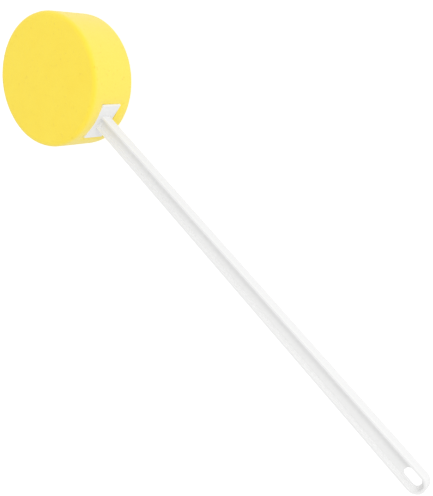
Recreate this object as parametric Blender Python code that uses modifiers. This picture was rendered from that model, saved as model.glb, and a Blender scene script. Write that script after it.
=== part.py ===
"""A round foam sponge on a long white plastic handle, in metres, +Z up.

The sponge lies flat on z = 0 with its disc axis on the Z axis. The handle leaves its side along +X.
The handle's tongue goes through a plate and into a slit in the foam, where adhesive films hold it.
"""

import math

import bmesh
import bpy

# Driving dimensions, in metres
SPONGE_RADIUS = 0.050
SPONGE_THICKNESS = 0.0420
SPONGE_EDGE = 0.0035
MID_Z = SPONGE_THICKNESS / 2

PLATE_LENGTH = 0.0318
PLATE_WIDTH = 0.0188
PLATE_THICKNESS = 0.0018
PLATE_FACE_X = 0.0480
PLATE_EDGE = 0.0003

HANDLE_END_X = 0.3907
HANDLE_DEPTH = 0.0082
HANDLE_ROOT_HALF_WIDTH = 0.0056
HANDLE_TIP_RADIUS = 0.0078
HANDLE_ROOT_CORNER = 0.0015
HANDLE_EDGE = 0.0004
RAIL_WIDTH = 0.0021
WEB_THICKNESS = 0.0020

SLOT_WIDTH = 0.0084
SLOT_LENGTH = 0.0131
SLOT_CORNER = 0.0034
SLOT_END_GAP = 0.0045

TONGUE_WIDTH = 0.0080
TONGUE_THICKNESS = 0.0018
TONGUE_END_X = 0.0100
TONGUE_CORNER = 0.0025
TONGUE_HOLE_RADIUS = 0.0015
TONGUE_HOLES_X = (0.0170, 0.0265, 0.0360)

FILM_THICKNESS = 0.0005
FILM_WIDTH = 0.0070
FILM_START_X = 0.0130
FILM_INSET = 0.0010
GAP = 0.0003

# Where the pieces meet
PLATE_BACK_X = PLATE_FACE_X - PLATE_THICKNESS
HANDLE_ROOT_X = PLATE_FACE_X + GAP
PAD_FACE_X = PLATE_BACK_X - GAP
PAD_BACK_X = PAD_FACE_X - FILM_THICKNESS
POCKET_FLOOR_X = PAD_BACK_X - GAP
SLIT_HALF_HEIGHT = TONGUE_THICKNESS / 2 + FILM_THICKNESS + 2 * GAP
MARGIN = 0.005

# Mesh settings, with the angles in degrees
WELD_DISTANCE = 0.000001
FLAT_ANGLE = 0.05
BEVEL_ANGLE = 40
SHARP_ANGLE = 35
TIP_STEPS = 32
CORNER_STEPS = 8
HOLE_SIDES = 24
SPONGE_SIDES = 128
SPONGE_EDGE_STEPS = 5
EDGE_STEPS = 2

FOAM_YELLOW = (0.955, 0.790, 0.120)
PLASTIC_WHITE = (0.860, 0.860, 0.850)
GLUE_AMBER = (0.820, 0.740, 0.480)


def clear_scene():
    for obj in list(bpy.data.objects):
        bpy.data.objects.remove(obj, do_unlink=True)


def new_collection(name):
    collection = bpy.data.collections.new(name)
    bpy.context.scene.collection.children.link(collection)
    return collection


def move_to(obj, collection):
    for old in list(obj.users_collection):
        old.objects.unlink(obj)
    collection.objects.link(obj)


def material(name, colour, roughness):
    made = bpy.data.materials.new(name)
    made.use_nodes = True
    shader = made.node_tree.nodes["Principled BSDF"]
    shader.inputs["Base Color"].default_value = (*colour, 1.0)
    shader.inputs["Roughness"].default_value = roughness
    shader.inputs["Metallic"].default_value = 0.0
    return made


def box(name, low, high, collection):
    """A box between two corners, with its scale applied."""
    centre = [(a + b) / 2 for a, b in zip(low, high)]
    bpy.ops.mesh.primitive_cube_add(size=1.0, location=centre)
    obj = bpy.context.object
    obj.name = name
    obj.scale = [b - a for a, b in zip(low, high)]
    bpy.ops.object.transform_apply(location=False, rotation=False, scale=True)
    move_to(obj, collection)
    return obj


def cylinder(name, radius, depth, location, vertices, collection):
    bpy.ops.mesh.primitive_cylinder_add(vertices=vertices, radius=radius, depth=depth, location=location)
    obj = bpy.context.object
    obj.name = name
    move_to(obj, collection)
    return obj


def flat_solid(name, outline, thickness, collection):
    """A plan outline made solid: a filled 2D curve with thickness, centred on the handle's mid plane."""
    curve = bpy.data.curves.new(name, "CURVE")
    curve.dimensions = "2D"
    curve.fill_mode = "BOTH"
    curve.extrude = thickness / 2
    spline = curve.splines.new("POLY")
    spline.points.add(len(outline) - 1)
    for point, (x, y) in zip(spline.points, outline):
        point.co = (x, y, 0.0, 1.0)
    spline.use_cyclic_u = True
    drawn = bpy.data.objects.new(name + "_curve", curve)
    drawn.location = (0.0, 0.0, MID_Z)
    collection.objects.link(drawn)
    bpy.context.view_layer.update()
    evaluated = drawn.evaluated_get(bpy.context.evaluated_depsgraph_get())
    mesh = bpy.data.meshes.new_from_object(evaluated)
    mesh.name = name
    welder = bmesh.new()
    welder.from_mesh(mesh)
    bmesh.ops.remove_doubles(welder, verts=welder.verts, dist=WELD_DISTANCE)
    bmesh.ops.dissolve_limit(
        welder, angle_limit=math.radians(FLAT_ANGLE), verts=welder.verts, edges=welder.edges
    )
    bmesh.ops.recalc_face_normals(welder, faces=welder.faces)
    welder.to_mesh(mesh)
    welder.free()
    obj = bpy.data.objects.new(name, mesh)
    obj.matrix_world = drawn.matrix_world
    collection.objects.link(obj)
    bpy.data.objects.remove(drawn, do_unlink=True)
    return obj


def arc(centre, radius, start, end, steps):
    """Points on an arc, from one angle to another, in degrees."""
    points = []
    for step in range(steps + 1):
        angle = math.radians(start + (end - start) * step / steps)
        points.append((centre[0] + radius * math.cos(angle), centre[1] + radius * math.sin(angle)))
    return points


def bevel(obj, width, segments):
    made = obj.modifiers.new("edge", "BEVEL")
    made.width = width
    made.segments = segments
    made.limit_method = "ANGLE"
    made.angle_limit = math.radians(BEVEL_ANGLE)
    return made


def apply_modifiers(obj):
    """Fixes what the modifiers make into the mesh, so that it can be a cutter or be cut."""
    evaluated = obj.evaluated_get(bpy.context.evaluated_depsgraph_get())
    mesh = bpy.data.meshes.new_from_object(evaluated)
    obj.modifiers.clear()
    obj.data = mesh


def combine(obj, other, operation):
    made = obj.modifiers.new(operation.lower(), "BOOLEAN")
    made.operation = operation
    made.object = other
    made.solver = "EXACT"


def hide_cutter(obj):
    obj.hide_render = True
    obj.display_type = "WIRE"


def finish(obj, made_material, collection):
    move_to(obj, collection)
    obj.data.materials.clear()
    obj.data.materials.append(made_material)
    obj.data.shade_smooth()
    obj.data.set_sharp_from_angle(angle=math.radians(SHARP_ANGLE))


def handle_outline(inset, root_x, root_corner):
    """The handle's plan, drawn in by inset. Its sides part slowly towards the round tip."""
    centre_x = HANDLE_END_X - HANDLE_TIP_RADIUS
    run = centre_x - HANDLE_ROOT_X
    flare = math.degrees(math.asin((HANDLE_TIP_RADIUS - HANDLE_ROOT_HALF_WIDTH) / run))
    tip = arc((centre_x, 0.0), HANDLE_TIP_RADIUS - inset, -90 - flare, 90 + flare, TIP_STEPS)
    half_root = HANDLE_ROOT_HALF_WIDTH - inset
    if root_corner == 0.0:
        return tip + [(root_x, half_root), (root_x, -half_root)]
    corner_y = half_root - root_corner
    corner_x = root_x + root_corner
    upper = arc((corner_x, corner_y), root_corner, 90 + flare, 180, CORNER_STEPS)
    lower = arc((corner_x, -corner_y), root_corner, 180, 270 - flare, CORNER_STEPS)
    return tip + upper + lower


def slot_outline():
    """The hang slot's plan, a long hole with rounded corners."""
    far_x = HANDLE_END_X - SLOT_END_GAP - SLOT_CORNER
    near_x = HANDLE_END_X - SLOT_END_GAP - SLOT_LENGTH + SLOT_CORNER
    corner_y = SLOT_WIDTH / 2 - SLOT_CORNER
    outline = arc((far_x, -corner_y), SLOT_CORNER, -90, 0, CORNER_STEPS)
    outline += arc((far_x, corner_y), SLOT_CORNER, 0, 90, CORNER_STEPS)
    outline += arc((near_x, corner_y), SLOT_CORNER, 90, 180, CORNER_STEPS)
    outline += arc((near_x, -corner_y), SLOT_CORNER, 180, 270, CORNER_STEPS)
    return outline


def tongue_outline(end_x):
    half = TONGUE_WIDTH / 2
    near_x = TONGUE_END_X + TONGUE_CORNER
    corner_y = half - TONGUE_CORNER
    upper = arc((near_x, corner_y), TONGUE_CORNER, 90, 180, CORNER_STEPS)
    lower = arc((near_x, -corner_y), TONGUE_CORNER, 180, 270, CORNER_STEPS)
    return upper + lower + [(end_x, -half), (end_x, half)]


def make_handle(parts, cutters, white):
    """The stick with its rails, web, hang slot and the tongue that enters the foam."""
    handle = flat_solid(
        "handle", handle_outline(0.0, HANDLE_ROOT_X, HANDLE_ROOT_CORNER), HANDLE_DEPTH, parts
    )
    bevel(handle, HANDLE_EDGE, EDGE_STEPS)
    apply_modifiers(handle)
    recess_outline = handle_outline(RAIL_WIDTH, HANDLE_ROOT_X - MARGIN, 0.0)
    for side in (1, -1):
        recess = flat_solid("recess_cutter", recess_outline, HANDLE_DEPTH, cutters)
        recess.location.z += side * (WEB_THICKNESS / 2 + HANDLE_DEPTH / 2)
        hide_cutter(recess)
        combine(handle, recess, "DIFFERENCE")
    slot = flat_solid("slot_cutter", slot_outline(), HANDLE_DEPTH * 2, cutters)
    hide_cutter(slot)
    combine(handle, slot, "DIFFERENCE")
    tongue = flat_solid("tongue_form", tongue_outline(PLATE_FACE_X), TONGUE_THICKNESS, cutters)
    root = box(
        "root_form",
        (PLATE_FACE_X - GAP, -HANDLE_ROOT_HALF_WIDTH + HANDLE_ROOT_CORNER, MID_Z - TONGUE_THICKNESS / 2),
        (HANDLE_ROOT_X + GAP, HANDLE_ROOT_HALF_WIDTH - HANDLE_ROOT_CORNER, MID_Z + TONGUE_THICKNESS / 2),
        cutters,
    )
    combine(tongue, root, "UNION")
    for x in TONGUE_HOLES_X:
        middle = (x, 0.0, MID_Z)
        depth = TONGUE_THICKNESS * 3
        hole = cylinder("tongue_hole_cutter", TONGUE_HOLE_RADIUS, depth, middle, HOLE_SIDES, cutters)
        hide_cutter(hole)
        combine(tongue, hole, "DIFFERENCE")
    hide_cutter(tongue)
    hide_cutter(root)
    combine(handle, tongue, "UNION")
    finish(handle, white, parts)
    return handle


def make_plate(parts, cutters, white):
    """The plate against the foam's side. The tongue passes through its slot."""
    plate = box(
        "flange_plate",
        (PLATE_BACK_X, -PLATE_LENGTH / 2, MID_Z - PLATE_WIDTH / 2),
        (PLATE_FACE_X, PLATE_LENGTH / 2, MID_Z + PLATE_WIDTH / 2),
        parts,
    )
    bevel(plate, PLATE_EDGE, EDGE_STEPS)
    cutter = tongue_passage("plate_slot_cutter", PLATE_FACE_X + MARGIN, cutters)
    combine(plate, cutter, "DIFFERENCE")
    finish(plate, white, parts)
    return plate


def tongue_passage(name, end_x, cutters):
    """The tongue's room in the pieces that it passes through, with the gap on every side."""
    cutter = box(
        name,
        (PAD_BACK_X - MARGIN, -TONGUE_WIDTH / 2 - GAP, MID_Z - TONGUE_THICKNESS / 2 - GAP),
        (end_x, TONGUE_WIDTH / 2 + GAP, MID_Z + TONGUE_THICKNESS / 2 + GAP),
        cutters,
    )
    hide_cutter(cutter)
    return cutter


def make_sponge(parts, cutters, foam):
    """The foam disc, with a slit for the tongue and a shallow seat for the plate."""
    middle = (0.0, 0.0, MID_Z)
    sponge = cylinder("sponge_head", SPONGE_RADIUS, SPONGE_THICKNESS, middle, SPONGE_SIDES, parts)
    bevel(sponge, SPONGE_EDGE, SPONGE_EDGE_STEPS)
    seat = box(
        "seat_cutter",
        (POCKET_FLOOR_X, -PLATE_LENGTH / 2 - GAP, MID_Z - PLATE_WIDTH / 2 - GAP),
        (SPONGE_RADIUS + MARGIN, PLATE_LENGTH / 2 + GAP, MID_Z + PLATE_WIDTH / 2 + GAP),
        cutters,
    )
    slit = box(
        "slit_cutter",
        (TONGUE_END_X - GAP, -TONGUE_WIDTH / 2 - GAP, MID_Z - SLIT_HALF_HEIGHT),
        (SPONGE_RADIUS + MARGIN, TONGUE_WIDTH / 2 + GAP, MID_Z + SLIT_HALF_HEIGHT),
        cutters,
    )
    for cutter in (seat, slit):
        hide_cutter(cutter)
        combine(sponge, cutter, "DIFFERENCE")
    finish(sponge, foam, parts)
    return sponge


def make_tongue_films(parts, glue):
    """The adhesive on the tongue's two faces."""
    for name, side in (("tongue_adhesive_front", 1), ("tongue_adhesive_back", -1)):
        middle_z = MID_Z + side * (TONGUE_THICKNESS / 2 + GAP + FILM_THICKNESS / 2)
        film = box(
            name,
            (FILM_START_X, -FILM_WIDTH / 2, middle_z - FILM_THICKNESS / 2),
            (PAD_BACK_X - GAP, FILM_WIDTH / 2, middle_z + FILM_THICKNESS / 2),
            parts,
        )
        finish(film, glue, parts)


def make_plate_film(parts, cutters, glue):
    """The adhesive between the plate and the foam, with a window for the tongue."""
    film = box(
        "plate_adhesive",
        (PAD_BACK_X, -PLATE_LENGTH / 2 + FILM_INSET, MID_Z - PLATE_WIDTH / 2 + FILM_INSET),
        (PAD_FACE_X, PLATE_LENGTH / 2 - FILM_INSET, MID_Z + PLATE_WIDTH / 2 - FILM_INSET),
        parts,
    )
    cutter = tongue_passage("film_window_cutter", PLATE_FACE_X, cutters)
    combine(film, cutter, "DIFFERENCE")
    finish(film, glue, parts)


def main():
    clear_scene()
    parts = new_collection("round_sponge_on_handle")
    cutters = new_collection("cutters")
    foam = material("yellow_foam", FOAM_YELLOW, 0.95)
    white = material("white_plastic", PLASTIC_WHITE, 0.35)
    plate_white = material("plate_plastic", PLASTIC_WHITE, 0.40)
    glue = material("adhesive", GLUE_AMBER, 0.50)
    make_sponge(parts, cutters, foam)
    make_plate(parts, cutters, plate_white)
    make_handle(parts, cutters, white)
    make_tongue_films(parts, glue)
    make_plate_film(parts, cutters, glue)


main()
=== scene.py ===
"""The looks of a round foam sponge on a long white plastic handle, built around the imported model.

Everything is in metres, in the model's frame: the foam's disc axis is on Z, and the handle runs
along +X.
"""

import math

import bmesh
import bpy
import numpy as np
from mathutils import Matrix, Vector, noise


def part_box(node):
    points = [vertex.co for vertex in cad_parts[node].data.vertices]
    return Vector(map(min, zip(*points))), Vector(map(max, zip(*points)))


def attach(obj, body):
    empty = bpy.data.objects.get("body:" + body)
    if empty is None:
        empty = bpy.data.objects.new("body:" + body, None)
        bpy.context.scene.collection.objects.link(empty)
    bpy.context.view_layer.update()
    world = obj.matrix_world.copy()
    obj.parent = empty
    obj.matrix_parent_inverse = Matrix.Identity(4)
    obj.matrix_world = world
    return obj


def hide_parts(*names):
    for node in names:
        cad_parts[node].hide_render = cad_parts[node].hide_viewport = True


MM = 0.001

# The camera, high over the handle's +Y side, rolled so that the handle runs down to the right
CAMERA_PLACE = Vector((0.32708, 0.28211, 0.45364))
CAMERA_AIM = Vector((0.18125, 0.00213, 0.02100))
CAMERA_ROLL = math.radians(-108.41)
CAMERA_LENS_MM = 55.2
CAMERA_SENSOR_MM = 36.0

# The foam
FOAM_VOXEL = 0.75 * MM
FOAM_EDGE = 3.5 * MM
FOAM_EDGE_SEGMENTS = 8
FOAM_ROUND_SEGMENTS = 192
FOAM_SMOOTH_SHARE = 0.5
FOAM_SMOOTH_ROUNDS = 3
FOAM_GRAIN = 0.10 * MM
FOAM_GRAIN_SIZE = 1.1 * MM
FINE_GRAIN_SHARE = 0.6
FINE_GRAIN_SCALE = 0.55
FOAM_SWELL = 0.25 * MM
FOAM_SWELL_SIZE = 22.0 * MM
SWELL_SHARE = 0.5
SWELL_SINK = 0.5
SEAT_PLAY = 0.02 * MM
DIP_DEPTH = 1.2 * MM
DIP_REACH = 3.0 * MM

# The handle's section: two round-topped rails on a web, the same on both faces
RAIL_WIDTH = 1.9 * MM
RAIL_ROUND = 0.32 * MM
RAIL_DRAFT = 0.12 * MM
WALL_DRAFT = 0.55 * MM
WEB_THICKNESS = 2.0 * MM
WEB_FILLET = 0.3 * MM
ROOT_HALF_WIDTH = 5.6 * MM
ROOT_FILLET = 1.6 * MM
ROOT_OVERLAP = 0.5 * MM

# How far the arcs at the rail's foot and crest stop short of a quarter turn, in degrees
INNER_LEAN = 5
OUTER_LEAN = 2

# How finely the handle's curves are divided
TIP_STEPS = 48
SIDE_STEPS = 60
EDGE_STEPS = 6
FILLET_STEPS = 8
SLOT_CORNER_STEPS = 10
HOLE_SIDES = 32

# The hang slot
SLOT_WIDTH = 8.4 * MM
SLOT_CORNER = 3.4 * MM
SLOT_LENGTH = 13.1 * MM
SLOT_END_GAP = 4.5 * MM
SLOT_LIP = 0.2 * MM
SLOT_CUTTER_REACH = 4 * MM

# The tongue that the foam hides
TONGUE_WIDTH = 8.0 * MM
TONGUE_THICKNESS = 1.8 * MM
TONGUE_CORNER = 2.5 * MM
TONGUE_HOLE_RADIUS = 1.5 * MM
TONGUE_HOLES_X = (17.0 * MM, 26.5 * MM, 36.0 * MM)

# The plate, and the play around the tongue in it
PLATE_EDGE = 0.45 * MM
PLATE_EDGE_STEPS = 4
TIGHT = 0.02 * MM

# How far a cutter reaches past what it cuts
CUTTER_MARGIN = 5 * MM

# Angles between faces, in degrees, over which an edge is beveled or drawn sharp
BEVEL_ANGLE = 40
FOAM_SHARP_ANGLE = 50
PLASTIC_SHARP_ANGLE = 38

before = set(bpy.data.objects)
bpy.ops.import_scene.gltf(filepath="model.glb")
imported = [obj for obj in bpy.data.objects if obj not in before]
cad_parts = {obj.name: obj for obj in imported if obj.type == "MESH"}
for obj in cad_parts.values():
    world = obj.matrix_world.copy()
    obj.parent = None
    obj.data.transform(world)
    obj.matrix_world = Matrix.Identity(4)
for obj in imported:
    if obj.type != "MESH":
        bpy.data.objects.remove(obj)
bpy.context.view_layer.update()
foam_low, foam_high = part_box("sponge_head")
plate_low, plate_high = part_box("flange_plate")
handle_low, handle_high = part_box("handle")
glue_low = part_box("plate_adhesive")[0]
MID_Z = (handle_low.z + handle_high.z) / 2


# Small helpers


def link(obj):
    bpy.context.scene.collection.objects.link(obj)
    return obj


def object_from(bm, name):
    """Closes a bmesh into a new object with its normals outwards."""
    bmesh.ops.recalc_face_normals(bm, faces=bm.faces)
    mesh = bpy.data.meshes.new(name)
    bm.to_mesh(mesh)
    bm.free()
    return link(bpy.data.objects.new(name, mesh))


def apply_all(obj):
    """Fixes what the modifiers make into the object's mesh."""
    evaluated = obj.evaluated_get(bpy.context.evaluated_depsgraph_get())
    mesh = bpy.data.meshes.new_from_object(evaluated)
    obj.modifiers.clear()
    obj.data = mesh
    return obj


def combine(obj, other, operation):
    """A Boolean with another object, which is then removed."""
    made = obj.modifiers.new(operation.lower(), "BOOLEAN")
    made.operation = operation
    made.object = other
    made.solver = "EXACT"
    apply_all(obj)
    bpy.data.objects.remove(other, do_unlink=True)
    return obj


def box_object(name, low, high):
    bm = bmesh.new()
    bmesh.ops.create_cube(bm, size=1.0)
    low, high = Vector(low), Vector(high)
    scale = Matrix.Diagonal((*(high - low), 1.0))
    bm.transform(Matrix.Translation((low + high) / 2) @ scale)
    return object_from(bm, name)


def smooth_by_angle(obj, degrees):
    obj.data.shade_smooth()
    obj.data.set_sharp_from_angle(angle=math.radians(degrees))


def arc(centre, radius, start, end, steps):
    """Points on an arc, from one angle to another, in degrees."""
    angles = np.radians(np.linspace(start, end, steps + 1))
    x, y = centre
    return [(x + radius * math.cos(a), y + radius * math.sin(a)) for a in angles]


# Materials


class Recipe:
    """A procedural material on the object's own coordinates, which are metres."""

    def __init__(self, name):
        self.material = bpy.data.materials.new(name)
        self.material.use_nodes = True
        self.tree = self.material.node_tree
        self.shader = self.tree.nodes["Principled BSDF"]
        self.place = self.tree.nodes.new("ShaderNodeTexCoord").outputs["Object"]

    def put(self, socket, value):
        """Links or sets one input."""
        if isinstance(value, bpy.types.NodeSocket):
            self.tree.links.new(value, socket)
        else:
            socket.default_value = value

    def scaled(self, scale):
        node = self.tree.nodes.new("ShaderNodeMapping")
        self.put(node.inputs["Vector"], self.place)
        node.inputs["Scale"].default_value = scale
        return node.outputs["Vector"]

    def noise(self, scale, detail=3.0, roughness=0.5, vector=None):
        node = self.tree.nodes.new("ShaderNodeTexNoise")
        self.put(node.inputs["Vector"], vector or self.place)
        node.inputs["Scale"].default_value = scale
        node.inputs["Detail"].default_value = detail
        node.inputs["Roughness"].default_value = roughness
        return node.outputs["Fac"]

    def cells(self, scale, randomness=1.0):
        """Distance from the middle of the nearest cell, in cell sizes."""
        node = self.tree.nodes.new("ShaderNodeTexVoronoi")
        self.put(node.inputs["Vector"], self.place)
        node.inputs["Scale"].default_value = scale
        node.inputs["Randomness"].default_value = randomness
        return node.outputs["Distance"]

    def flatness(self):
        """How squarely the object's surface faces up or down, from 0 on its sides to 1."""
        normal = self.tree.nodes.new("ShaderNodeTexCoord").outputs["Normal"]
        split = self.tree.nodes.new("ShaderNodeSeparateXYZ")
        self.put(split.inputs["Vector"], normal)
        return self.math("ABSOLUTE", split.outputs["Z"], 0.0)

    def pointiness(self):
        return self.tree.nodes.new("ShaderNodeNewGeometry").outputs["Pointiness"]

    def ramp(self, value, low, high, start=0.0, end=1.0):
        """Maps low..high of a value to start..end, clamped."""
        node = self.tree.nodes.new("ShaderNodeMapRange")
        self.put(node.inputs["Value"], value)
        node.inputs["From Min"].default_value = low
        node.inputs["From Max"].default_value = high
        node.inputs["To Min"].default_value = start
        node.inputs["To Max"].default_value = end
        return node.outputs["Result"]

    def math(self, operation, a, b):
        node = self.tree.nodes.new("ShaderNodeMath")
        node.operation = operation
        self.put(node.inputs[0], a)
        self.put(node.inputs[1], b)
        return node.outputs[0]

    def mix(self, share, a, b):
        """A colour between a and b."""
        node = self.tree.nodes.new("ShaderNodeMix")
        node.data_type = "RGBA"
        self.put(node.inputs[0], share)
        self.put(node.inputs[6], (*a, 1.0) if isinstance(a, tuple) else a)
        self.put(node.inputs[7], (*b, 1.0) if isinstance(b, tuple) else b)
        return node.outputs[2]

    def bump(self, height, distance, strength, under=None):
        node = self.tree.nodes.new("ShaderNodeBump")
        self.put(node.inputs["Height"], height)
        node.inputs["Distance"].default_value = distance
        node.inputs["Strength"].default_value = strength
        if under is not None:
            self.put(node.inputs["Normal"], under)
        return node.outputs["Normal"]

    def surface(self, **values):
        for name, value in values.items():
            self.put(self.shader.inputs[name.replace("_", " ")], value)
        return self.material


FOAM_YELLOW = (0.985, 0.765, 0.060)
FOAM_DEEP = (0.975, 0.735, 0.050)
FOAM_PALE = (0.990, 0.790, 0.070)
# Painted sheen: the paler, whiter yellow given to the foam's sides
FOAM_SIDE_PAINTED_SHEEN = (0.980, 0.785, 0.106)
# Painted shade for the hollows of the pores and cells
FOAM_PORE_SHADE = (0.880, 0.620, 0.030)
FOAM_TINT = (1.0, 0.97, 0.85, 1.0)
FOAM_SHEEN = 0.45

# How many features of each kind lie along a metre of foam
FOAM_CLOUDS = 55.0
FOAM_CELLS = 1500.0
FOAM_PORES = 420.0
FOAM_PORE_PATCHES = 260.0
FOAM_ROUGH_SPOTS = 900.0


def foam_material():
    """Open-cell foam: fine cells and scattered pores with painted shade in them, cloudy colour, a
    painted sheen paling the sides and a soft fuzz of cut struts.
    """
    r = Recipe("yellow_foam_cells")
    clouds = r.ramp(r.noise(FOAM_CLOUDS, 4.0, 0.6), 0.30, 0.70)
    colour = r.mix(clouds, FOAM_DEEP, FOAM_PALE)
    colour = r.mix(0.6, colour, FOAM_YELLOW)
    # Painted sheen: surfaces that face sideways are mixed towards a paler, whiter yellow
    colour = r.mix(r.ramp(r.flatness(), 0.2, 0.8, 1.0, 0.0), colour, FOAM_SIDE_PAINTED_SHEEN)
    fine = r.cells(FOAM_CELLS)
    large = r.cells(FOAM_PORES)
    pits = r.ramp(large, 0.10, 0.26, 1.0, 0.0)
    scattered = r.math("MULTIPLY", pits, r.ramp(r.noise(FOAM_PORE_PATCHES, 2.0), 0.50, 0.62))
    # Painted shade: the scattered pores and the dented middles of the fine cells are darkened
    # towards a deeper orange
    colour = r.mix(r.math("MULTIPLY", scattered, 0.55), colour, FOAM_PORE_SHADE)
    colour = r.mix(r.ramp(fine, 0.0, 0.45, 0.22, 0.0), colour, FOAM_PORE_SHADE)
    dents = r.bump(fine, 0.35 * MM, 0.35)
    dents = r.bump(r.math("SUBTRACT", 1.0, scattered), 0.5 * MM, 0.5, dents)
    return r.surface(
        Base_Color=colour,
        Roughness=r.ramp(r.noise(FOAM_ROUGH_SPOTS, 2.0), 0.3, 0.7, 0.82, 0.96),
        Normal=dents,
        Specular_IOR_Level=0.30,
        Sheen_Weight=FOAM_SHEEN,
        Sheen_Roughness=0.5,
        Sheen_Tint=FOAM_TINT,
    )


PLASTIC_WHITE = (0.843, 0.843, 0.839)
PLASTIC_SHADE = (0.831, 0.831, 0.829)
# A painted highlight: the brighter white given to convex edges
PLASTIC_EDGE_HIGHLIGHT = (0.868, 0.868, 0.863)
PLASTIC_ROUGHNESS = (0.42, 0.52)
WORN_ROUGHNESS = 0.08

# How many features of each kind lie along a metre of plastic
PLASTIC_FLOW_LINES = 120.0
PLASTIC_WEAR_AND_HIGHLIGHT_SPOTS = 400.0
PLASTIC_SCUFFS = 700.0
PLASTIC_GRAIN = 2600.0


def plastic_material(name, flow_axis_scale):
    """Moulded white plastic: faint flow lines, a fine satin texture, and convex edges that are
    rougher with wear and brightened with a painted highlight.
    """
    r = Recipe(name)
    flow = r.noise(PLASTIC_FLOW_LINES, 3.0, 0.5, r.scaled(flow_axis_scale))
    colour = r.mix(r.ramp(flow, 0.3, 0.7), PLASTIC_SHADE, PLASTIC_WHITE)
    edges = r.ramp(r.pointiness(), 0.52, 0.60)
    edge_wear_and_highlight = r.math("MULTIPLY", edges, r.ramp(r.noise(PLASTIC_WEAR_AND_HIGHLIGHT_SPOTS), 0.35, 0.65))
    # Painted highlight: convex edges, in spots, are mixed towards a brighter white; the same spots
    # also roughen them as wear
    colour = r.mix(r.math("MULTIPLY", edge_wear_and_highlight, 0.6), colour, PLASTIC_EDGE_HIGHLIGHT)
    grain = r.noise(PLASTIC_GRAIN, 2.0, 0.6)
    scuffs = r.noise(PLASTIC_SCUFFS, 4.0, 0.65, r.scaled((0.15, 1.0, 1.0)))
    rough = r.ramp(scuffs, 0.35, 0.65, *PLASTIC_ROUGHNESS)
    rough = r.math("ADD", rough, r.math("MULTIPLY", edge_wear_and_highlight, WORN_ROUGHNESS))
    texture = r.bump(grain, 0.05 * MM, 0.25)
    texture = r.bump(flow, 0.08 * MM, 0.25, texture)
    return r.surface(Base_Color=colour, Roughness=rough, Normal=texture, Specular_IOR_Level=0.35)


GLUE_AMBER = (0.780, 0.680, 0.400)
GLUE_MILKY = (0.860, 0.800, 0.580)
GLUE_STREAKS = 180.0
GLUE_LUMPS = 420.0


def glue_material():
    """Set hot-melt adhesive: milky streaks and a lumpy, fairly glossy skin."""
    r = Recipe("hot_melt_adhesive")
    streaks = r.noise(GLUE_STREAKS, 4.0, 0.6)
    lumps = r.noise(GLUE_LUMPS, 3.0, 0.5)
    return r.surface(
        Base_Color=r.mix(r.ramp(streaks, 0.35, 0.65), GLUE_AMBER, GLUE_MILKY),
        Roughness=r.ramp(lumps, 0.3, 0.7, 0.28, 0.48),
        Normal=r.bump(lumps, 0.2 * MM, 0.5),
    )


# The foam head


def seat_cutters():
    """The room in the foam for the plate with its adhesive, and for the tongue with its films."""
    out_x = foam_high.x + CUTTER_MARGIN
    play = Vector((0.0, SEAT_PLAY, SEAT_PLAY))
    seat_low = Vector((glue_low.x - SEAT_PLAY, plate_low.y, plate_low.z)) - play
    seat_high = Vector((out_x, plate_high.y, plate_high.z)) + play
    front_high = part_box("tongue_adhesive_front")[1]
    back_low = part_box("tongue_adhesive_back")[0]
    half_slit = TONGUE_WIDTH / 2 + 2 * SEAT_PLAY
    slit_low = Vector((handle_low.x - 2 * SEAT_PLAY, -half_slit, back_low.z - 2 * SEAT_PLAY))
    slit_high = Vector((out_x, half_slit, front_high.z + 2 * SEAT_PLAY))
    seat = box_object("seat_cutter", seat_low, seat_high)
    return seat, box_object("slit_cutter", slit_low, slit_high)


def foam_grain(point):
    """Height of the foam's surface over its plain shape, from slow swells and from its cells."""
    swell = noise.noise(point / FOAM_SWELL_SIZE)
    cells = noise.noise(point / FOAM_GRAIN_SIZE)
    cells += FINE_GRAIN_SHARE * noise.noise(point / (FINE_GRAIN_SCALE * FOAM_GRAIN_SIZE))
    return FOAM_SWELL * (swell - SWELL_SINK) * SWELL_SHARE + FOAM_GRAIN * cells


def make_foam():
    """The disc with its soft edge and seat, remeshed evenly and roughened like cut foam."""
    radius = (foam_high.x - foam_low.x) / 2
    bm = bmesh.new()
    bmesh.ops.create_cone(
        bm,
        cap_ends=True,
        segments=FOAM_ROUND_SEGMENTS,
        radius1=radius,
        radius2=radius,
        depth=foam_high.z - foam_low.z,
    )
    bm.transform(Matrix.Translation((foam_low + foam_high) / 2))
    foam = object_from(bm, "foam_head")
    edge = foam.modifiers.new("edge", "BEVEL")
    edge.width = FOAM_EDGE
    edge.segments = FOAM_EDGE_SEGMENTS
    edge.angle_limit = math.radians(BEVEL_ANGLE)
    apply_all(foam)
    even = foam.modifiers.new("even", "REMESH")
    even.mode = "VOXEL"
    even.voxel_size = FOAM_VOXEL
    soften = foam.modifiers.new("soften", "SMOOTH")
    soften.factor = FOAM_SMOOTH_SHARE
    soften.iterations = FOAM_SMOOTH_ROUNDS
    apply_all(foam)
    shape_surface(foam)
    for cutter in seat_cutters():
        combine(foam, cutter, "DIFFERENCE")
    smooth_by_angle(foam, FOAM_SHARP_ANGLE)
    return foam


def plate_dip(point):
    """How far the bonded plate draws the foam's side in round the plate's edge."""
    if point.x < 0.0:
        return 0.0
    beyond = max(abs(point.y) - plate_high.y, 0.0)
    outside = max(abs(point.z - MID_Z) - (plate_high.z - MID_Z), 0.0)
    along = math.exp(-((beyond / DIP_REACH) ** 2))
    across = math.exp(-((outside / DIP_REACH) ** 2))
    return DIP_DEPTH * along * across


def shape_surface(foam):
    """Gives the foam's surface its grain and the dips by the plate, and keeps it on the floor."""
    bm = bmesh.new()
    bm.from_mesh(foam.data)
    bm.normal_update()
    moves = [v.normal * foam_grain(v.co) for v in bm.verts]
    for vertex, move in zip(bm.verts, moves):
        dip = plate_dip(vertex.co)
        vertex.co += move
        vertex.co.x -= dip
        vertex.co.z = max(vertex.co.z, foam_low.z)
    bm.to_mesh(foam.data)
    bm.free()


# The handle


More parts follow.
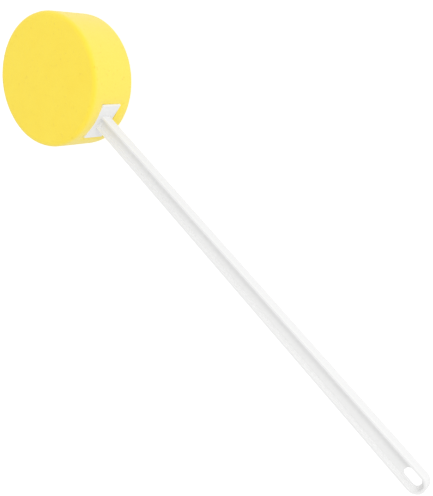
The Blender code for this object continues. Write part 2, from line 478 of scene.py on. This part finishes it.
def rail_path():
    """The handle's outline with its inward directions, from the root round the tip and back."""
    tip_radius = (handle_high.y - handle_low.y) / 2
    centre = Vector((handle_high.x - tip_radius, 0.0, 0.0))
    root_x = plate_high.x + TIGHT
    flare = math.degrees(math.asin((tip_radius - ROOT_HALF_WIDTH) / (centre.x - root_x)))
    tip = []
    for angle in np.radians(np.linspace(-90 - flare, 90 + flare, TIP_STEPS + 1)):
        out = Vector((math.cos(angle), math.sin(angle), 0.0))
        tip.append((centre + tip_radius * out, -out))
    lower_root = (Vector((root_x, -ROOT_HALF_WIDTH, 0.0)), Vector((0.0, 1.0, 0.0)))
    upper_root = (Vector((root_x, ROOT_HALF_WIDTH, 0.0)), Vector((0.0, -1.0, 0.0)))
    return between(lower_root, tip[0]) + tip + list(reversed(between(upper_root, tip[-1])))


def between(start, end):
    """Stations along a straight side, from its start to just short of its end."""
    stations = []
    for step in range(SIDE_STEPS):
        share = step / SIDE_STEPS
        inward = start[1].lerp(end[1], min(share * SIDE_STEPS, 1.0)).normalized()
        stations.append((start[0].lerp(end[0], share), inward))
    return stations


def rail_section():
    """The rail, from the web's top over its crest, down the outer side and back under the web.

    Each point is a distance in from the outline and a height from mid depth. Both sides lean by the
    mould's draft, and the two mould halves meet in a faint edge at mid depth.
    """
    half_depth = (handle_high.z - handle_low.z) / 2
    half_web = WEB_THICKNESS / 2
    crest_height = half_depth - RAIL_ROUND
    foot_centre = (RAIL_WIDTH + WALL_DRAFT + WEB_FILLET, half_web + WEB_FILLET)
    inner_centre = (RAIL_WIDTH - RAIL_ROUND, crest_height)
    outer_centre = (RAIL_DRAFT + RAIL_ROUND, crest_height)
    foot = arc(foot_centre, WEB_FILLET, 270, 180 + INNER_LEAN, EDGE_STEPS)
    inner = arc(inner_centre, RAIL_ROUND, INNER_LEAN, 90, EDGE_STEPS)
    outer = arc(outer_centre, RAIL_ROUND, 90, 180 - OUTER_LEAN, EDGE_STEPS)
    top = foot + inner + outer
    return top + [(0.0, 0.0)] + [(d, -h) for d, h in reversed(top)]


def make_handle():
    """The moulding: rails swept round the outline, web between them, slot and tongue."""
    section = rail_section()
    bm = bmesh.new()
    rings = []
    for place, inward in rail_path():
        points = [place + inward * d + Vector((0.0, 0.0, MID_Z + h)) for d, h in section]
        rings.append([bm.verts.new(point) for point in points])
    for a, b in zip(rings, rings[1:]):
        for i in range(len(section) - 1):
            bm.faces.new((a[i], a[i + 1], b[i + 1], b[i]))
    for web in (0, -1):
        bm.faces.new([ring[web] for ring in rings])
    bm.faces.new(rings[0] + list(reversed(rings[-1])))
    bmesh.ops.triangulate(bm, faces=[f for f in bm.faces if len(f.verts) > 4])
    handle = object_from(bm, "handle_moulding")
    combine(handle, slot_cutter(), "DIFFERENCE")
    combine(handle, make_tongue(), "UNION")
    for side in (1, -1):
        combine(handle, root_fillet(side), "UNION")
    smooth_by_angle(handle, PLASTIC_SHARP_ANGLE)
    return handle


def root_fillet(side):
    """The web's rise towards the plate on one face, a hollow quarter round between the rails."""
    root_x = plate_high.x + TIGHT
    start = WEB_THICKNESS / 2
    middle = (root_x + ROOT_FILLET, start + ROOT_FILLET)
    curve = arc(middle, ROOT_FILLET, 180, 270, FILLET_STEPS)
    base = start - ROOT_OVERLAP
    profile = [(root_x, base)] + curve + [(root_x + ROOT_FILLET, base)]
    half = ROOT_HALF_WIDTH - RAIL_WIDTH / 2
    bm = bmesh.new()
    loops = [[bm.verts.new((x, y, MID_Z + side * h)) for x, h in profile] for y in (-half, half)]
    bm.faces.new(loops[0])
    bm.faces.new(loops[1])
    for i in range(len(profile)):
        j = (i + 1) % len(profile)
        bm.faces.new((loops[0][i], loops[0][j], loops[1][j], loops[1][i]))
    return object_from(bm, "root_fillet")


def slot_cutter():
    """The hang slot with its rounded corners, flared at both faces of the web to a soft lip."""
    far_x = handle_high.x - SLOT_END_GAP - SLOT_CORNER
    near_x = handle_high.x - SLOT_END_GAP - SLOT_LENGTH + SLOT_CORNER
    corner_y = SLOT_WIDTH / 2 - SLOT_CORNER
    half_web = WEB_THICKNESS / 2
    flare = arc((SLOT_CORNER + SLOT_LIP, half_web - SLOT_LIP), SLOT_LIP, 180, 90, EDGE_STEPS)
    reach = (SLOT_CORNER + SLOT_LIP, 2 * half_web + SLOT_CUTTER_REACH)
    upper = flare + [reach]
    profile = [(r, -h) for r, h in reversed(upper)] + upper
    bm = bmesh.new()
    loops = []
    for r, h in profile:
        outline = arc((far_x, -corner_y), r, -90, 0, SLOT_CORNER_STEPS)
        outline += arc((far_x, corner_y), r, 0, 90, SLOT_CORNER_STEPS)
        outline += arc((near_x, corner_y), r, 90, 180, SLOT_CORNER_STEPS)
        outline += arc((near_x, -corner_y), r, 180, 270, SLOT_CORNER_STEPS)
        loops.append([bm.verts.new((x, y, MID_Z + h)) for x, y in outline])
    for a, b in zip(loops, loops[1:]):
        count = len(a)
        for i in range(count):
            j = (i + 1) % count
            bm.faces.new((a[i], a[j], b[j], b[i]))
    bm.faces.new(loops[0])
    bm.faces.new(loops[-1])
    return object_from(bm, "slot_cutter")


def make_tongue():
    """The flat tongue with its key holes, from inside the foam to the handle's root."""
    half = TONGUE_WIDTH / 2
    corner_x = handle_low.x + TONGUE_CORNER
    neck_half = ROOT_HALF_WIDTH - RAIL_WIDTH
    corner_y = half - TONGUE_CORNER
    shoulder_x = plate_high.x
    end_x = shoulder_x + ROOT_OVERLAP
    outline = arc((corner_x, corner_y), TONGUE_CORNER, 90, 180, FILLET_STEPS)
    outline += arc((corner_x, -corner_y), TONGUE_CORNER, 180, 270, FILLET_STEPS)
    outline += [(shoulder_x, -half), (shoulder_x, -neck_half), (end_x, -neck_half)]
    outline += [(end_x, neck_half), (shoulder_x, neck_half), (shoulder_x, half)]
    bm = bmesh.new()
    flat = bm.faces.new([bm.verts.new((x, y, MID_Z - TONGUE_THICKNESS / 2)) for x, y in outline])
    made = bmesh.ops.extrude_face_region(bm, geom=[flat])
    up = Vector((0.0, 0.0, TONGUE_THICKNESS))
    raised = [v for v in made["geom"] if isinstance(v, bmesh.types.BMVert)]
    bmesh.ops.translate(bm, verts=raised, vec=up)
    tongue = object_from(bm, "tongue_form")
    for x in TONGUE_HOLES_X:
        combine(tongue, hole_cutter(x), "DIFFERENCE")
    return tongue


def hole_cutter(x):
    bm = bmesh.new()
    bmesh.ops.create_cone(
        bm,
        cap_ends=True,
        segments=HOLE_SIDES,
        radius1=TONGUE_HOLE_RADIUS,
        radius2=TONGUE_HOLE_RADIUS,
        depth=3 * TONGUE_THICKNESS,
    )
    bm.transform(Matrix.Translation((x, 0.0, MID_Z)))
    return object_from(bm, "hole_cutter")


# The plate


def make_plate():
    """The plate with its front edges softened, close around the tongue."""
    plate = box_object("plate_moulding", plate_low, plate_high)
    bm = bmesh.new()
    bm.from_mesh(plate.data)
    front = [e for e in bm.edges if all(v.co.x > plate_high.x - TIGHT for v in e.verts)]
    bmesh.ops.bevel(
        bm, geom=front, offset=PLATE_EDGE, segments=PLATE_EDGE_STEPS, profile=0.5, affect="EDGES"
    )
    bm.to_mesh(plate.data)
    bm.free()
    half = TONGUE_WIDTH / 2 + TIGHT
    half_height = TONGUE_THICKNESS / 2 + TIGHT
    slot = box_object(
        "tongue_slot_cutter",
        (plate_low.x - CUTTER_MARGIN, -half, MID_Z - half_height),
        (plate_high.x + CUTTER_MARGIN, half, MID_Z + half_height),
    )
    combine(plate, slot, "DIFFERENCE")
    smooth_by_angle(plate, PLASTIC_SHARP_ANGLE)
    return plate


# Camera, floor and light


def make_camera():
    direction = (CAMERA_AIM - CAMERA_PLACE).normalized()
    level = direction.to_track_quat("-Z", "Y").to_matrix()
    turned = level @ Matrix.Rotation(CAMERA_ROLL, 3, "Z")
    data = bpy.data.cameras.new("camera")
    data.lens = CAMERA_LENS_MM
    data.sensor_width = CAMERA_SENSOR_MM
    camera = link(bpy.data.objects.new("camera", data))
    camera.matrix_world = Matrix.Translation(CAMERA_PLACE) @ turned.to_4x4()
    bpy.context.scene.camera = camera


FLOOR_HALF = 4.0
FLOOR_GAP = 0.05 * MM
FLOOR_PALE = 0.30
FLOOR_MOTTLE = 0.01
FLOOR_GLOW = 0.85
SKY_ABOVE = 0.895
SKY_BELOW = 0.92
SKY_HORIZON = 0.97

# Heights in the sky, from 0 straight down to 1 straight up, with the level of light at each
SKY_STOPS = ((0.42, SKY_BELOW), (0.47, SKY_HORIZON), (0.53, SKY_HORIZON), (0.60, SKY_ABOVE))

KEY_PLACE = (0.62, 1.08, 0.68)
KEY_AIM = (0.20, 0.0, 0.02)
KEY_SIZE = (0.46, 0.30)
KEY_WATTS = 4.3


def make_floor():
    """A pale, glowing table for the camera alone. It neither lights nor shades the object."""
    bm = bmesh.new()
    bmesh.ops.create_grid(bm, x_segments=8, y_segments=8, size=FLOOR_HALF)
    floor = object_from(bm, "studio_floor")
    floor.location.z = foam_low.z - FLOOR_GAP
    r = Recipe("studio_floor_white")
    shade = r.ramp(r.noise(3.0, 2.0), 0.3, 0.7)
    light, dark = (FLOOR_PALE,) * 3, (FLOOR_PALE - FLOOR_MOTTLE,) * 3
    surface = r.surface(
        Base_Color=r.mix(shade, dark, light),
        Roughness=0.9,
        Specular_IOR_Level=0.1,
        Emission_Color=(1.0, 1.0, 1.0, 1.0),
        Emission_Strength=FLOOR_GLOW,
    )
    floor.data.materials.append(surface)
    floor.visible_diffuse = False
    floor.visible_glossy = False
    floor.visible_shadow = False


def softbox(name, place, aim, size, watts):
    data = bpy.data.lights.new(name, "AREA")
    data.shape = "RECTANGLE"
    data.size, data.size_y = size
    data.energy = watts
    lamp = link(bpy.data.objects.new(name, data))
    lamp.location = place
    direction = Vector(aim) - Vector(place)
    lamp.rotation_euler = direction.to_track_quat("-Z", "Y").to_euler()


def make_light():
    """An even room, brightest at the horizon, and one soft lamp 30 degrees up on the +Y side."""
    scene = bpy.context.scene
    scene.view_settings.view_transform = "Standard"
    world = bpy.data.worlds.new("studio")
    scene.world = world
    world.use_nodes = True
    nodes, links = world.node_tree.nodes, world.node_tree.links
    direction = nodes.new("ShaderNodeTexCoord").outputs["Generated"]
    split = nodes.new("ShaderNodeSeparateXYZ")
    links.new(direction, split.inputs[0])
    height = nodes.new("ShaderNodeMapRange")
    height.inputs["From Min"].default_value = -1.0
    links.new(split.outputs["Z"], height.inputs["Value"])
    sky = nodes.new("ShaderNodeValToRGB")
    links.new(height.outputs["Result"], sky.inputs["Fac"])
    stops = sky.color_ramp.elements
    for place, level in SKY_STOPS:
        stop = stops.new(place)
        stop.color = (level, level, level, 1.0)
    stops[0].color = (SKY_BELOW, SKY_BELOW, SKY_BELOW, 1.0)
    stops[-1].color = (SKY_ABOVE, SKY_ABOVE, SKY_ABOVE, 1.0)
    links.new(sky.outputs["Color"], nodes["Background"].inputs["Color"])
    softbox("key", KEY_PLACE, KEY_AIM, KEY_SIZE, KEY_WATTS)


# Putting it together

make_camera()
make_light()
make_floor()

foam = make_foam()
foam.data.materials.clear()
foam.data.materials.append(foam_material())
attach(foam, "root")
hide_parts("sponge_head")

handle = make_handle()
handle.data.materials.clear()
handle.data.materials.append(plastic_material("handle_white_plastic", (0.12, 1.0, 1.0)))
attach(handle, "root")
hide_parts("handle")

plate = make_plate()
plate.data.materials.clear()
plate.data.materials.append(plastic_material("plate_white_plastic", (1.0, 0.3, 1.0)))
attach(plate, "root")
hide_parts("flange_plate")

glue = glue_material()
for node in ("tongue_adhesive_front", "tongue_adhesive_back", "plate_adhesive"):
    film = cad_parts[node]
    film.data.materials.clear()
    film.data.materials.append(glue)
